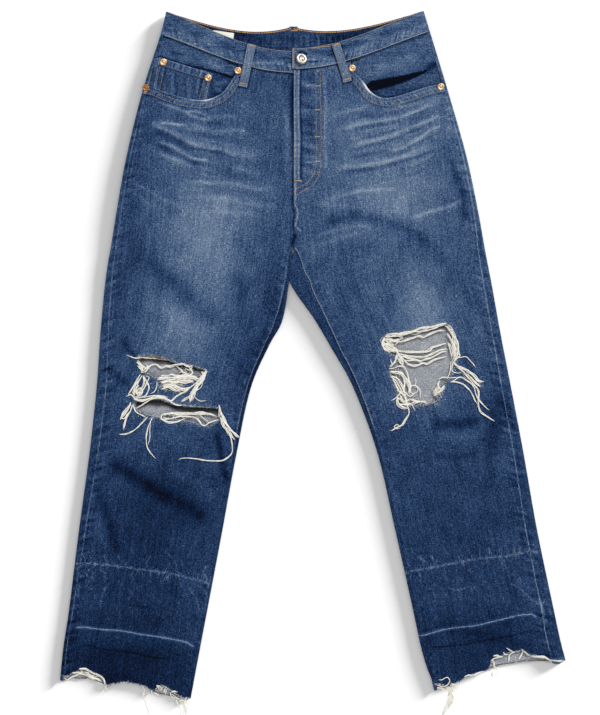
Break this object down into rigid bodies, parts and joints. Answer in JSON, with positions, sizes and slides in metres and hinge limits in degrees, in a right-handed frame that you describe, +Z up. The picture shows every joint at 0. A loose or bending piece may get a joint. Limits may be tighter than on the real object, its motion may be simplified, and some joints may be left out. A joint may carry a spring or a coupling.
{
  "type": "ripped jeans",
  "caption": "Straight-leg jeans in faded blue denim, laid out flat with the front up, torn open at the knees and frayed at the raw hems.",
  "frame": {"origin": "on the surface that the jeans lie on, under the middle of their outline", "axes": "+Y along the garment towards the waist, +X to the wearer's left, +Z up out of the front"},
  "size_m": [0.719, 0.9806, 0.0134],
  "materials": {
    "denim": "indigo twill, washed and faded over the thighs",
    "white_weft": "loose undyed cotton threads",
    "cotton_label": "blank woven cotton",
    "copper": "satin copper",
    "nickel": "worn nickel plate"
  },
  "bodies": {
    "root": {"front_right": "denim", "front_left": "denim", "back_right": "denim", "back_left": "denim", "yoke_right": "denim", "yoke_left": "denim", "waistband": "denim", "belt_loop_front_right": "denim", "belt_loop_front_left": "denim", "belt_loop_back_right": "denim", "belt_loop_back_left": "denim", "belt_loop_back_centre": "denim", "pocket_facing_right": "denim", "pocket_facing_left": "denim", "coin_pocket": "denim", "fly_facing": "denim", "fly_shield": "denim", "back_pocket_right": "denim", "back_pocket_left": "denim", "threads_rip_right_upper": "white_weft", "threads_rip_right_lower": "white_weft", "threads_rip_left": "white_weft", "fringe_hem_right": "white_weft", "fringe_hem_left": "white_weft", "label": "cotton_label", "rivet_coin_side": "copper", "rivet_coin_front": "copper", "rivet_mouth_right_front": "copper", "rivet_mouth_right_side": "copper", "rivet_mouth_left_front": "copper", "rivet_mouth_left_side": "copper", "button_waist": "nickel"}
  },
  "joints": []
}
